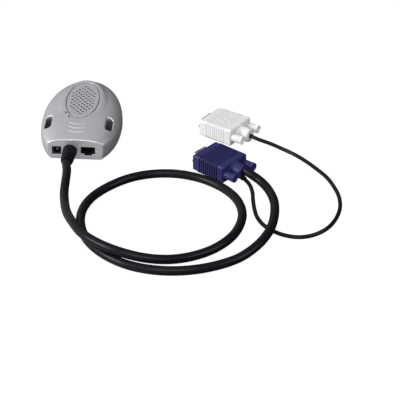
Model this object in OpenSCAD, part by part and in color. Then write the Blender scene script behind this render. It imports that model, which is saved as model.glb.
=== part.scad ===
// Video line repeater: a mouse-shaped housing with a power jack and a network
// jack, a fixed video cable to a blue plug, and a thin branch cable to a white plug.
// Millimetres. The origin is the middle of the housing on the surface it stands on,
// +Y points to the back of the housing, the jacks face -Y.

/* [Housing] */
// Length of the housing, front to back
body_l = 96; // [92:1:102]
// Width of the housing
body_w = 71; // [69:1:76]
// Height of the flat top's plane at the front face
top_h = 22.5; // [22:0.5:25]
// Rise of the top plane for each millimetre towards the back
top_slope = 0.185; // [0.17:0.005:0.2]
// Height at which the covers meet, which is the axis of the cable boot too
part_z = 9.8; // [9.6:0.1:10.2]
// Wall thickness of the two covers
wall = 2; // [1.8:0.1:2.2]
// How far the feet stand proud of the base
foot_h = 1.2; // [1:0.1:1.6]
// Distance between the two screw wells
well_pitch = 53.8; // [53:0.2:55]
// Diameter of the mounting hole at the bottom of each well
well_hole = 3.4; // [3:0.1:4]

/* [Grille] */
// Width of the oval grille
grille_w = 28.6; // [26:0.2:30]
// Length of the oval grille
grille_l = 50; // [46:1:52]
// Diameter of one vent hole
vent_d = 1.5; // [1:0.1:1.8]
// Step between neighbouring columns of vent holes
vent_step = 2.4; // [2.3:0.05:2.8]

/* [Plugs] */
// Width of a plug's hood
hood_w = 32.5; // [31.5:0.1:33.5]
// Length of a plug's hood
hood_l = 34; // [32:0.5:36]
// Thickness of a plug's hood
hood_t = 16; // [15:0.1:17]
// Distance between a plug's two thumbscrews
screw_pitch = 25; // [24.8:0.1:25.2]
// Diameter of a thumbscrew's threaded tip
screw_d = 2.84; // [2.8:0.02:2.88]
// Diameter of a thumbscrew's knob
knob_d = 7.4; // [6.6:0.1:7.6]
// Length of a thumbscrew's knob
knob_l = 11; // [9:0.5:12]
// How far a thumbscrew can be drawn back
screw_float = 4; // [3:0.5:4]

/* [Cables] */
// Diameter of the video cable
cable_d = 7.5; // [7:0.1:7.5]
// Diameter of the thin branch cable
branch_d = 3.4; // [3:0.1:3.4]

/* [Hidden] */
$fn = 48;

front = -body_l / 2;
// The plan is egg shaped: an ellipse behind its widest line, a fuller curve ahead of it
wide_y = -4;
plan_front = 56;
plan_back = body_l / 2 - wide_y;
plan_n = 2.35;
// Level of the widest outline, underside of the base, and how far the base tucks in
wide_z = 11.7;
base_z = foot_h;
tuck = 3.4;
dome_n = 3.3;
tilt = atan(top_slope);
front_wall = 2.2;
seg = 48;

// Jacks in the front face
dc_x = -16.3;
jack_z = 9.5;
rj_x = 11.2;
boot_x = -4.5;
pcb_z = 3.3;
pcb_t = 1.6;
pcb_top = pcb_z + pcb_t;
// The wall is thin where the jacks stand behind it
jack_wall = 1;
jack_y = front + jack_wall + 0.1;
// Underside of the network jack's opening, without its notch
rj_z = 6.9;

// Oval grille: its centre lies on the tilted top plane
grille_y = 4.6;
grille_z = top_h + top_slope * (grille_y - front);

// Indicators
light_1 = [-12.5, -13.3];
light_2 = [-9.1, -18.5];

// Where the plugs lie: middle of the hood's back face, and the way the plug points
blue_pos = [140.1, -64.6];
blue_yaw = 143.6;
white_pos = [141.7, 0];
white_yaw = 148.8;
plug_z = hood_t / 2;
boss_blue = 9.5;
boss_white = 10.5;
boss_z = 7.2;
thick_y = -1.6;
thick_z = 9.4;
thin_y = 1.8;
thin_z = 3.8;
ring_x = 16;
shank_r = 1.1;
groove_r = 0.9;

function at_plug(pos, yaw, x, y, z) = [pos[0] + x * cos(yaw) - y * sin(yaw), pos[1] + x * sin(yaw) + y * cos(yaw), z];

// Route of the video cable, from inside the housing to the boss of the blue plug
video_route = concat([
  [-4.5, -42, 9.8], [-4.5, -55, 9.8], [-4.5, -68, 9.8], [-2, -81, 9.2], [-1, -94, 7.5],
  [0, -108, 5.1], [3, -124, 4.6], [8, -142.5, 7], [16, -161.5, 10.4], [26, -178, 11.5],
  [40, -190.5, 11.6], [57, -200, 11.3], [76, -203, 8.5], [95, -200.5, 5.8], [113, -193, 4.3],
  [129.5, -181, 3.9], [142, -164.5, 3.9], [148.5, -146, 3.9], [149.5, -126, 3.9], [143.5, -106, 3.9],
  [131, -89.5, 3.9], [113.5, -77, 3.9], [93, -70.5, 3.9], [72, -71.5, 3.9], [52.5, -79.5, 3.9],
  [36, -94.5, 3.9], [24, -113, 3.9], [19, -134, 3.9], [21.5, -156.5, 3.9], [30.5, -177.5, 3.9],
  [45.5, -194.5, 3.9], [65, -207, 3.9], [87, -212.5, 3.9], [109, -211.5, 3.9], [130.5, -204.5, 3.9],
  [149.5, -193, 4.5], [162.5, -178.5, 6], [170.5, -163.5, 7.3], [174.5, -148.5, 7.6], [176, -129, 6],
  [175, -108, 4.2], [170, -90.5, 4], [163, -79.5, 5.4]
], [
  at_plug(blue_pos, blue_yaw, -boss_blue - 8, thick_y, 7.9),
  at_plug(blue_pos, blue_yaw, -boss_blue, thick_y, thick_z),
  at_plug(blue_pos, blue_yaw, -boss_blue + 6, thick_y, thick_z)
]);

// Route of the branch cable, from the boss of the blue plug to the boss of the white one
branch_route = concat([
  at_plug(blue_pos, blue_yaw, -boss_blue + 6, thin_y, thin_z),
  at_plug(blue_pos, blue_yaw, -boss_blue, thin_y, thin_z),
  at_plug(blue_pos, blue_yaw, -boss_blue - 5, thin_y + 0.7, 3.1)
], [
  [154, -82, 2.4], [156.5, -92, 1.8], [157.5, -104, 1.8], [159, -116, 1.8], [161.5, -128, 1.8],
  [166.5, -139, 1.8], [174, -147.5, 1.8], [183.5, -153.5, 1.8], [195, -156, 1.8], [206, -153, 1.8],
  [216, -145, 1.8], [223, -134, 1.8], [227.5, -121, 1.8], [229.5, -107, 1.8], [228.5, -92, 1.8],
  [224.5, -77, 1.8], [218.5, -62.5, 1.8], [210, -49.5, 1.8], [200.5, -37, 1.8], [191, -27, 2],
  [180, -19.5, 3], [169, -14, 4.8]
], [
  at_plug(white_pos, white_yaw, -boss_white - 9, 0, 6.4),
  at_plug(white_pos, white_yaw, -boss_white, 0, boss_z),
  at_plug(white_pos, white_yaw, -boss_white + 6, 0, boss_z)
]);

silver = [0.70, 0.71, 0.73];
black = [0.06, 0.06, 0.07];
blue = [0.16, 0.15, 0.48];
white = [0.90, 0.89, 0.86];
nickel = [0.72, 0.71, 0.68];
gold = [0.83, 0.66, 0.30];

function sgn_pow(v, p) = v >= 0 ? pow(v, p) : -pow(-v, p);
// Outline of the housing at angle a, drawn in by an inset
function plan(a, inset, u = 1) =
  let (n = sin(a) >= 0 ? 2 : plan_n, len = sin(a) >= 0 ? plan_back : plan_front)
  [(body_w / 2 - inset) * u * sgn_pow(cos(a), 2 / n), wide_y + (len - inset) * u * sgn_pow(sin(a), 2 / n)];
function plan_outline(inset) = [for (i = [0:seg - 1]) plan(i * 360 / seg, inset)];
function top_plane(y, drop) = top_h - drop + top_slope * (y - front);

// A closed solid from rings of equal count, with flat end caps, or an apex point at the top
function ring_faces(rings, n) = [for (i = [0:rings - 2]) for (j = [0:n - 1]) for (k = [0, 1])
    k == 0 ? [i * n + j, (i + 1) * n + j, i * n + (j + 1) % n]
           : [i * n + (j + 1) % n, (i + 1) * n + j, (i + 1) * n + (j + 1) % n]];

module dome(inset, low_z, levels) {
  base = [for (i = [0:seg - 1]) let (p = plan(i * 360 / seg, inset)) [p[0], p[1], low_z]];
  body = [for (k = [0:levels - 1]) let (t = 90 * k / levels, u = pow(cos(t), 2 / dome_n), h = pow(sin(t), 2 / dome_n))
      for (i = [0:seg - 1]) let (p = plan(i * 360 / seg, inset, u))
        [p[0], p[1], wide_z + (top_plane(p[1], inset) - wide_z) * h]];
  apex = [[0, wide_y, top_plane(wide_y, inset)]];
  last = levels * seg;
  polyhedron(
    points = concat(base, body, apex),
    faces = concat(
      [[for (j = [0:seg - 1]) j]],
      ring_faces(levels + 1, seg),
      [for (j = [0:seg - 1]) [last + j, last + seg, last + (j + 1) % seg]]
    ),
    convexity = 4
  );
}

module tub(inset, low_z, high_z, steps) {
  ga = acos((wide_z - min(high_z, wide_z)) / (wide_z - base_z));
  rings = [for (k = [0:steps]) let (a = ga * k / steps, z = wide_z - (wide_z - low_z) * cos(a) , in = inset + tuck * (1 - sin(a)))
      for (i = [0:seg - 1]) let (p = plan(i * 360 / seg, in)) [p[0], p[1], k == steps ? high_z : z]];
  last = steps * seg;
  polyhedron(
    points = rings,
    faces = concat([[for (j = [0:seg - 1]) j]], ring_faces(steps + 1, seg), [[for (j = [seg - 1:-1:0]) last + j]]),
    convexity = 4
  );
}

// A round tube along a route; the first and last cut stand square to the route
function unit(v) = v / norm(v);
function tangent(p, i) = unit(i == 0 ? p[1] - p[0] : i == len(p) - 1 ? p[i] - p[i - 1] : p[i + 1] - p[i - 1]);
function between(p, i, t) =
  let (a = p[max(i - 1, 0)], b = p[i], c = p[i + 1], d = p[min(i + 2, len(p) - 1)])
  0.5 * (2 * b + (c - a) * t + (2 * a - 5 * b + 4 * c - d) * t * t + (3 * b - a - 3 * c + d) * t * t * t);
function halved(p) = [for (i = [0:len(p) - 1]) for (t = i < len(p) - 1 ? [0, 0.5] : [0]) t == 0 ? p[i] : between(p, i, t)];

module tube(route, r, sides) {
  pts = [for (i = [0:len(route) - 1]) let (t = tangent(route, i), s = unit(cross(t, [0, 0, 1])), u = cross(s, t))
      for (j = [0:sides - 1]) let (a = (j + 0.5) * 360 / sides - 90) route[i] + r * (cos(a) * s + sin(a) * u)];
  last = (len(route) - 1) * sides;
  polyhedron(
    points = pts,
    faces = concat([[for (j = [sides - 1:-1:0]) j]],
      [for (f = ring_faces(len(route), sides)) [f[0], f[2], f[1]]],
      [[for (j = [0:sides - 1]) last + j]]),
    convexity = 6
  );
}

module rounded(w, h, r) {
  square([w - 2 * r, h], center = true);
  square([w, h - 2 * r], center = true);
  for (x = [-1, 1], y = [-1, 1]) translate([x * (w / 2 - r), y * (h / 2 - r)]) circle(r = r, $fn = 32);
}

module oval(w, l, n = 2) {
  polygon([for (i = [0:71]) [w / 2 * cos(i * 5), l / 2 * sin(i * 5)]]);
}

module on_top() {
  translate([0, grille_y, grille_z]) rotate([tilt, 0, 0]) children();
}

// Column round a screw well, larger than the well by a margin
module well_column(s, grow, z0, z1) {
  translate([s * well_x, well_y, z0]) linear_extrude(z1 - z0) rounded(well_w + 2 * grow, well_l + 2 * grow, well_r + grow);
}

module rod_y(x, z, y0, y1, r) {
  translate([x, y0, z]) rotate([-90, 0, 0]) cylinder(r = r, h = y1 - y0);
}

cover_screw_at = [[-25.5, -32.8], [25.5, -32.8], [-17, 32], [17, 32]];
board_screw_at = [[-19, -21], [19, -21], [-16, 22], [16, 22]];
foot_at = [[-15.5, -38], [15.5, -38], [-21, 18], [21, 18]];
well_x = well_pitch / 2;
well_y = -23.3;
well_w = 5.6;
well_l = 15;
well_r = 2.6;

module jack_cuts(y0, y1) {
  translate([dc_x - 4.1, y0, jack_z - 3.9]) cube([8.2, y1 - y0, 7.8]);
  translate([rj_x - 6.2, y0, rj_z - 0.1]) cube([12.4, y1 - y0, 6.9]);
  translate([rj_x - 3.2, y0, rj_z - 1.7]) cube([6.4, y1 - y0, 2]);
  rod_y(boot_x, part_z, y0, y1, 4.6);
  // Seats of the two jacks
  translate([rj_x - 7.8, front + jack_wall, pcb_top - 0.1]) cube([15.6, 5, 11.4]);
  translate([dc_x - 4.6, front + jack_wall, pcb_top - 0.1]) cube([9.2, 5, 9.2]);
}

module bottom_cover() {
  color(silver) difference() {
    union() {
      tub(0, base_z, part_z, 4);
      // Lip that stands into the upper cover
      difference() {
        translate([0, 0, part_z - 1]) linear_extrude(2.2) polygon(plan_outline(1.15));
        translate([0, 0, part_z - 2]) linear_extrude(5) polygon(plan_outline(wall));
        translate([-60, front - 20, 0]) cube([120, 20 + front_wall + 0.3, 30]);
        for (p = cover_screw_at) translate([p[0], p[1], 0]) cylinder(r = 3.6, h = 20);
      }
    }
    difference() {
      tub(wall, base_z + 1.6, part_z + 5, 4);
      translate([-60, front - 20, 0]) cube([120, 20 + front_wall, 30]);
      for (p = cover_screw_at) translate([p[0], p[1], 0]) cylinder(r = 3.4, h = part_z);
      for (p = board_screw_at) translate([p[0], p[1], 0]) cylinder(r = 2.6, h = pcb_z);
      for (s = [-1, 1]) translate([s * well_x, well_y, 0]) cylinder(r = 4.1, h = part_z);
    }
    translate([-60, front - 20, -1]) cube([120, 20, 30]);
    jack_cuts(front - 1, front + front_wall + 1);
    for (p = cover_screw_at) translate([p[0], p[1], -1]) {
      cylinder(r = 1.7, h = 20);
      cylinder(r = 3, h = base_z + 1 + 2.4);
    }
    for (p = board_screw_at) translate([p[0], p[1], base_z + 0.7]) cylinder(r = 1.02, h = 10);
    for (s = [-1, 1]) translate([s * well_x, well_y, -1]) cylinder(d = well_hole, h = 20);
    for (p = foot_at) translate([p[0], p[1], -1]) cylinder(r = 4.1, h = base_z + 1 + 0.5);
  }
}

module top_cover() {
  color(silver) difference() {
    union() {
      dome(0, part_z, 9);
      // Level rim that carries the grille over the falling back of the dome
      on_top() translate([0, 0, -5]) linear_extrude(5) oval(grille_w + 5, grille_l + 5);
      for (k = [0:2]) arc_ridge(k);
    }
    difference() {
      dome(wall, part_z - 3, 7);
      translate([-60, front - 20, 0]) cube([120, 20 + front_wall, 60]);
      for (s = [-1, 1]) well_column(s, 1.5, part_z, 40);
      for (p = [cover_screw_at[0], cover_screw_at[1]]) translate([p[0], p[1], part_z]) cylinder(r = 3.4, h = 20);
      for (p = [cover_screw_at[2], cover_screw_at[3]]) translate([p[0], p[1], part_z]) cylinder(r = 3.4, h = 30);
      for (p = [light_1, light_2]) translate([p[0], p[1], 22]) cylinder(r = 2.4, h = 20);
      on_top() translate([0, 0, -3.4]) linear_extrude(5) oval(grille_w + 4, grille_l + 4);
    }
    translate([-60, front - 20, -1]) cube([120, 20, 60]);
    // Groove for the lower cover's lip
    difference() {
      translate([0, 0, part_z - 1]) linear_extrude(2.4) polygon(plan_outline(1));
      translate([-60, front - 20, 0]) cube([120, 20 + front_wall, 30]);
      for (s = [-1, 1]) well_column(s, 0.5, part_z, 40);
      for (p = cover_screw_at) translate([p[0], p[1], part_z]) cylinder(r = 3, h = 20);
    }
    jack_cuts(front - 1, front + front_wall + 1);
    for (s = [-1, 1]) {
      well_column(s, 0, part_z + 2.4, 40);
      translate([s * well_x, well_y, 0]) cylinder(d = well_hole, h = 40);
    }
    for (p = cover_screw_at) translate([p[0], p[1], part_z - 1]) cylinder(r = 1.27, h = 8);
    for (p = [light_1, light_2]) translate([p[0], p[1], 0]) cylinder(r = 1.06, h = 40);
    on_top() {
      translate([0, 0, -1.65]) linear_extrude(10) oval(grille_w + 1, grille_l + 1);
      translate([0, 0, -12]) linear_extrude(30) oval(grille_w - 2.4, grille_l - 2.4);
    }
  }
}

// One of the three raised arcs in front of the grille, let down to where the dome is under it
module arc_ridge(k) {
  w = 2 * (20 + 1.4 * k);
  l = 2 * (33.8 + 5.1 * k);
  on_top() translate([0, 0, -1.2 - 0.28 * k]) intersection() {
    difference() {
      linear_extrude(1.3) oval(w + 1, l + 1);
      translate([0, 0, -1]) linear_extrude(4) oval(w - 1, l - 1);
    }
    translate([-9.2, -60, -1]) cube([18.4, 40, 5]);
  }
}

module vent_grille() {
  cols = 4;
  rows = 8;
  color(silver) on_top() difference() {
    translate([0, 0, -1.6]) linear_extrude(1.6) oval(grille_w, grille_l);
    for (i = [-cols:cols], j = [-rows:rows])
      if ((i + j) % 2 == 0 && pow(i * vent_step / 11.4, 2) + pow(j * vent_step / 20.6, 2) < 1)
        translate([i * vent_step, j * vent_step, -3]) cylinder(d = vent_d, h = 6, $fn = 24);
  }
}

module rubber_feet() {
  color(black) for (p = foot_at) translate([p[0], p[1], 0]) {
    cylinder(r = 4, h = base_z + 0.5);
  }
}

module cover_screws() {
  color(nickel) for (p = cover_screw_at) translate([p[0], p[1], base_z + 0.4]) {
    difference() {
      cylinder(r = 2.7, h = 2);
      for (a = [0, 90]) rotate([0, 0, a]) translate([-1.6, -0.35, -1]) cube([3.2, 0.7, 2]);
    }
    translate([0, 0, 2]) cylinder(r = 1.25, h = 12);
  }
}

module light_pipe(p) {
  h = top_h + top_slope * (p[1] - front);
  translate([p[0], p[1], pcb_top + 1.1]) cylinder(r = 1, h = h - 0.1 - pcb_top - 1.1, $fn = 32);
  translate([p[0], p[1], 20.8]) cylinder(r = 1.9, h = 1.1, $fn = 32);
}
module power_light_pipe() { color([0.35, 0.40, 0.36]) light_pipe(light_1); }
module link_light_pipe() { color([0.35, 0.40, 0.36]) light_pipe(light_2); }

module main_pcb() {
  color([0.08, 0.32, 0.16]) difference() {
    translate([0, 0, pcb_z]) linear_extrude(pcb_t) polygon([
      [-21.5, front + 3], [21.5, front + 3], [21.5, -19], [26.5, -15], [26.5, 11], [19, 26],
      [-19, 26], [-26.5, 11], [-26.5, -15], [-21.5, -19]
    ]);
    for (p = board_screw_at) translate([p[0], p[1], 0]) cylinder(r = 1.3, h = 10);
    translate([rj_x - 4.8, -31.6, 0]) cube([9.6, 1.2, 10]);
    translate([dc_x - 2.2, -32.6, 0]) cube([4.4, 1.2, 10]);
    // Notch round the collar of the cable boot
    translate([boot_x - 7.2, front, 0]) cube([14.4, 4.4, 20]);
  }
}

module board_screws() {
  color(nickel) for (p = board_screw_at) translate([p[0], p[1], 0]) {
    translate([0, 0, pcb_top]) difference() {
      cylinder(r = 2.1, h = 1.5);
      for (a = [0, 90]) rotate([0, 0, a]) translate([-1.3, -0.3, 0.7]) cube([2.6, 0.6, 2]);
    }
    translate([0, 0, base_z + 0.9]) cylinder(r = 1, h = pcb_top - base_z - 0.9);
  }
}

module status_leds() {
  color([0.9, 0.9, 0.8]) for (p = [light_1, light_2]) translate([p[0] - 0.8, p[1] - 0.6, pcb_top]) cube([1.6, 1.2, 0.9]);
}

module rj45_housing() {
  color(black) difference() {
    translate([rj_x - 7.7, jack_y, pcb_top]) cube([15.4, 21.2, 11.2]);
    translate([rj_x - 5.95, jack_y - 1, rj_z]) cube([11.9, 15, 6.7]);
    translate([rj_x - 3.05, jack_y - 1, rj_z - 1.6]) cube([6.1, 12.2, 2]);
    // Room for the contacts' legs
    translate([rj_x - 4.7, -33.5, pcb_top - 1]) cube([9.4, 3, 9.5]);
  }
}

module rj45_contacts() {
  color(gold) for (i = [0:7]) translate([rj_x - 3.57 + 1.02 * i, 0, 0]) {
    translate([-0.2, -31.4, 2.9]) cube([0.4, 0.4, rj_z + 3.3]);
    translate([-0.2, -31.2, rj_z + 5.9]) rotate([6, 0, 0]) translate([0, -11.5, 0]) cube([0.4, 11.5, 0.35]);
  }
}

module dc_jack_housing() {
  color(black) difference() {
    translate([dc_x - 4.5, jack_y, pcb_top]) cube([9, 14.2, 9]);
    rod_y(dc_x, jack_z, jack_y - 1, jack_y + 9.5, 3.2);
    rod_y(dc_x, jack_z, jack_y, jack_y + 15, 1.05);
  }
}

module dc_jack_contacts() {
  color(nickel) {
    rod_y(dc_x, jack_z, jack_y + 2, jack_y + 14.7, 1.02);
    translate([dc_x - 1.5, jack_y + 14.4, 2.9]) cube([3, 0.5, 8]);
  }
}

module video_driver_ic() {
  color(black) translate([1, 0, pcb_top]) {
    translate([-6, -6, 0.2]) cube([12, 12, 1.3]);
    for (a = [0:90:270]) rotate([0, 0, a]) for (i = [-5:5]) translate([i - 0.2, 5.9, 0]) cube([0.4, 1.4, 0.3]);
  }
}

module sync_driver_ics() {
  color(black) for (x = [-18, 18]) translate([x, 3, pcb_top]) {
    translate([-2, -4.4, 0.2]) cube([4, 8.8, 1.4]);
    for (s = [-1, 1], i = [-3:3]) translate([s * 2.4 - 0.6, i * 1.2 - 0.2, 0]) cube([1.2, 0.4, 0.3]);
  }
}

module voltage_regulator() {
  color(black) translate([-17, -28, pcb_top]) {
    translate([-3.2, -1.8, 0.2]) cube([6.4, 3.6, 1.6]);
    translate([-1.5, 1.6, 0]) cube([3, 1.8, 0.4]);
    for (i = [-1:1]) translate([i * 2.3 - 0.35, -3.4, 0]) cube([0.7, 1.8, 0.4]);
  }
}

module capacitors() {
  color([0.25, 0.27, 0.33]) for (p = [[-7, -22], [2, -19], [-14, 17], [13, 15]]) translate([p[0], p[1], pcb_top]) {
    cylinder(r = 2.6, h = 7.4);
    cylinder(r = 3.1, h = 0.9);
  }
}

module cable_header() {
  color(white) translate([boot_x - 6.5, -37, pcb_top]) difference() {
    cube([13, 5, 6]);
    translate([1, 1, 1.2]) cube([11, 3, 6]);
  }
}

module inner_wires() {
  color([0.75, 0.15, 0.12]) for (k = [-2:2])
    tube([[boot_x + 1.3 * k, -41.2, part_z], [boot_x + 1.4 * k, -39.6, part_z + 2.6], [boot_x + 1.9 * k, -36.4, part_z + 3.2],
      [boot_x + 2 * k, -34.6, part_z + 0.8], [boot_x + 2 * k, -34.5, pcb_top + 1.3]], 0.55, 6);
}

module cable_boot() {
  color(black) difference() {
    translate([boot_x, front, part_z]) rotate([90, 0, 0]) rotate_extrude($fn = 48) polygon([
      [cable_d / 2, -3.9], [6.2, -3.9], [6.2, -2.3], [4.5, -2.3], [4.5, 0.05], [6.3, 0.05],
      [6.25, 2.4], [5.6, 2.4], [5.6, 3.4], [6.15, 3.4], [6.1, 5.4], [5.5, 5.4], [5.5, 6.4], [6, 6.4],
      [5.95, 8.4], [5.4, 8.4], [5.4, 9.4], [5.85, 9.4], [5.7, 13], [5.5, 16.5], [5.3, 18], [4.9, 18.9], [4.3, 19.3], [cable_d / 2, 19.4]
    ]);
  }
}

module video_cable() { color(black) tube(halved(video_route), cable_d / 2, 10); }
module branch_cable() { color(black) tube(halved(branch_route), branch_d / 2, 8); }

// D outline of a fifteen-way video connector, broad side up
function d_outline(w, h, r) =
  let (a = 10, ct = w / 2 - r, cb = ct - (h - 2 * r) * tan(a), q = h / 2 - r)
  concat(
    [for (t = [-90:20:-10]) [cb + r * cos(t), -q + r * sin(t)]],
    [for (t = [-10:20:90]) [ct + r * cos(t), q + r * sin(t)]],
    [for (t = [90:20:190]) [-ct + r * cos(t), q + r * sin(t)]],
    [for (t = [190:20:270]) [-cb + r * cos(t), -q + r * sin(t)]]
  );

module along_x(x0, x1) { translate([x0, 0, plug_z]) rotate([90, 0, 90]) linear_extrude(x1 - x0) children(); }
module rod_x(y, z, x0, x1, r) { translate([x0, y, z]) rotate([0, 90, 0]) cylinder(r = r, h = x1 - x0); }
module at(pos, yaw) { translate([pos[0], pos[1], 0]) rotate([0, 0, yaw]) children(); }
module at_blue() { at(blue_pos, blue_yaw) children(); }
module at_white() { at(white_pos, white_yaw) children(); }

pin_at = [for (r = [-1:1], c = [-2:2]) [c * 2.29 + (r == 0 ? -0.57 : 0.57), r * 1.98]];

module hood(lip) {
  difference() {
    along_x(0, hood_l) rounded(hood_w, hood_t, 2.2);
    // Nine grooves across the grip, and a slightly slimmer front band
    for (i = [0:8]) difference() {
      along_x(6.6 + 2.35 * i, 7.5 + 2.35 * i) square([hood_w + 4, hood_t + 4], center = true);
      along_x(5, hood_l - 5) rounded(hood_w - 1.6, hood_t - 1.6, 1.6);
    }
    difference() {
      along_x(hood_l - 5.2, hood_l + 1) square([hood_w + 4, hood_t + 4], center = true);
      along_x(hood_l - 6, hood_l + 2) rounded(hood_w - 0.8, hood_t - 0.8, 2);
    }
    // Seat of the connector
    along_x(hood_l - lip - 0.85, hood_l + 1) square([30.05, 11.85], center = true);
    along_x(hood_l - lip - 9, hood_l) polygon(d_outline(17.1, 8.6, 2.2));
    for (s = [-1, 1]) {
      rod_x(s * screw_pitch / 2, plug_z, -1, hood_l + 1, shank_r + 0.07);
      rod_x(s * screw_pitch / 2, plug_z, hood_l - screw_float - 0.6, hood_l + 1, 1.52);
      rod_x(s * screw_pitch / 2, plug_z, ring_x - screw_float - 0.4, ring_x + 0.8, 2.2);
    }
  }
}

module blue_hood() {
  color(blue) at_blue() difference() {
    union() {
      hood(0);
      translate([-boss_blue, 0, plug_z]) rotate([90, 0, 90]) linear_extrude(boss_blue + 0.5) rounded(13.8, 13, 6.4);
    }
    rod_x(thick_y, thick_z, -boss_blue - 1, -boss_blue + 6.1, cable_d / 2);
    rod_x(thin_y, thin_z, -boss_blue - 1, -boss_blue + 6.1, branch_d / 2);
  }
}

module white_hood() {
  color(white) at_white() difference() {
    union() {
      hood(1.7);
      rod_x(0, boss_z, -boss_white, 0.5, 6.5);
    }
    rod_x(0, boss_z, -boss_white - 1, -boss_white + 6.1, branch_d / 2);
  }
}

// Flange plate with the D collar; the collar starts at the plate's front
module d_shell(flange_x, collar) {
  difference() {
    along_x(flange_x, flange_x + 0.8) square([30, 11.8], center = true);
    along_x(flange_x - 1, flange_x + 3) polygon(d_outline(16, 7.5, 2));
    for (s = [-1, 1]) rod_x(s * screw_pitch / 2, plug_z, flange_x - 1, flange_x + 2, 1.6);
  }
  difference() {
    along_x(flange_x + 0.4, flange_x + 0.8 + collar) polygon(d_outline(16.9, 8.4, 2.4));
    along_x(flange_x - 1, flange_x + 2 + collar) polygon(d_outline(16, 7.5, 2));
  }
}

module blue_shell() { color(nickel) at_blue() d_shell(hood_l - 0.8, 5.9); }
module white_shell() { color(nickel) at_white() d_shell(hood_l - 2.5, 5.9); }

module blue_insulator() {
  color([0.12, 0.14, 0.40]) at_blue() difference() {
    along_x(hood_l - 8.8, hood_l + 0.6) polygon(d_outline(15.9, 7.4, 1.95));
    for (p = pin_at) rod_x(p[0], plug_z + p[1], hood_l - 10, hood_l + 2, 0.52);
  }
}

module blue_pins() {
  color(gold) at_blue() for (p = pin_at) rod_x(p[0], plug_z + p[1], hood_l - 8.9, hood_l + 5, 0.5);
}

module white_insulator() {
  color([0.92, 0.92, 0.90]) at_white() difference() {
    along_x(hood_l - 10.5, hood_l + 3.8) polygon(d_outline(15.9, 7.4, 1.95));
    for (p = pin_at) {
      rod_x(p[0], plug_z + p[1], hood_l - 12, hood_l + 2.9, 0.82);
      rod_x(p[0], plug_z + p[1], hood_l - 12, hood_l + 5, 0.6);
    }
  }
}

module white_contacts() {
  color(gold) at_white() for (p = pin_at) difference() {
    rod_x(p[0], plug_z + p[1], hood_l - 10.6, hood_l + 2.8, 0.8);
    rod_x(p[0], plug_z + p[1], hood_l - 5, hood_l + 4, 0.52);
  }
}

// Captive thumbscrew: steel screw, moulded knob, and the ring that holds it in the hood
module screw(s) {
  y = s * screw_pitch / 2;
  tip = hood_l + 2.5;
  difference() {
    union() {
      rod_x(y, plug_z, -knob_l + 1, tip - 1, shank_r);
      rod_x(y, plug_z, hood_l + 0.05, tip - 0.4, screw_d / 2);
      translate([tip - 0.4, y, plug_z]) rotate([0, 90, 0]) cylinder(r1 = screw_d / 2, r2 = screw_d / 2 - 0.4, h = 0.4);
    }
    difference() {
      rod_x(y, plug_z, ring_x - 0.1, ring_x + 0.7, 2);
      rod_x(y, plug_z, ring_x - 1, ring_x + 2, groove_r);
    }
  }
}

module ring(s) {
  y = s * screw_pitch / 2;
  difference() {
    rod_x(y, plug_z, ring_x, ring_x + 0.6, 2);
    rod_x(y, plug_z, ring_x - 1, ring_x + 2, groove_r + 0.08);
  }
}

module knob(s) {
  y = s * screw_pitch / 2;
  difference() {
    union() {
      rod_x(y, plug_z, -knob_l, -1.8, knob_d / 2);
      rod_x(y, plug_z, -2, -0.3, knob_d / 2 - 0.5);
    }
    rod_x(y, plug_z, -knob_l + 1, 1, shank_r);
    for (a = [0:20:340]) translate([-knob_l - 1, y + (knob_d / 2 + 0.1) * cos(a), plug_z + (knob_d / 2 + 0.1) * sin(a)])
      rotate([0, 90, 0]) cylinder(r = 0.4, h = knob_l - 1.2, $fn = 16);
    translate([-knob_l - 1, y - knob_d / 2, plug_z - 0.5]) cube([1.7, knob_d, 1]);
  }
}

module blue_screw_near() { color(nickel) at_blue() screw(1); }
module blue_screw_far() { color(nickel) at_blue() screw(-1); }
module blue_ring_near() { color(nickel) at_blue() ring(1); }
module blue_ring_far() { color(nickel) at_blue() ring(-1); }
module blue_knob_near() { color(blue) at_blue() knob(1); }
module blue_knob_far() { color(blue) at_blue() knob(-1); }
module white_screw_near() { color(nickel) at_white() screw(1); }
module white_screw_far() { color(nickel) at_white() screw(-1); }
module white_ring_near() { color(nickel) at_white() ring(1); }
module white_ring_far() { color(nickel) at_white() ring(-1); }
module white_knob_near() { color(white) at_white() knob(1); }
module white_knob_far() { color(white) at_white() knob(-1); }

module branch_grommet() {
  color(black) at_blue() translate([-boss_blue, thin_y, thin_z]) rotate([0, -90, 0]) rotate_extrude($fn = 32) polygon([
    [branch_d / 2, 0], [2.3, 0], [2.3, 0.8], [2, 0.8], [2, 1.3], [2.2, 1.3], [2.2, 2], [1.9, 2], [1.9, 2.5], [2.1, 2.5], [2, 3.2], [branch_d / 2, 3.4]
  ]);
}

bottom_cover();
top_cover();
vent_grille();
rubber_feet();
cover_screws();
power_light_pipe();
link_light_pipe();
main_pcb();
board_screws();
status_leds();
rj45_housing();
rj45_contacts();
dc_jack_housing();
dc_jack_contacts();
video_driver_ic();
sync_driver_ics();
voltage_regulator();
capacitors();
cable_header();
inner_wires();
cable_boot();
video_cable();
blue_hood();
blue_shell();
blue_insulator();
blue_pins();
blue_ring_near();
blue_ring_far();
blue_screw_near();
blue_screw_far();
blue_knob_near();
blue_knob_far();
branch_grommet();
white_hood();
white_shell();
white_insulator();
white_contacts();
white_ring_near();
white_ring_far();
white_screw_near();
white_screw_far();
white_knob_near();
white_knob_far();
branch_cable();
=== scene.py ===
"""Looks of the video line repeater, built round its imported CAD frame.

Everything is in metres in the frame of the CAD model. Helper functions that shape
the moulded pieces work in millimetres and are scaled when the mesh is made.
"""
import math

import bpy
import numpy as np
from mathutils import Matrix, Vector


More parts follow.
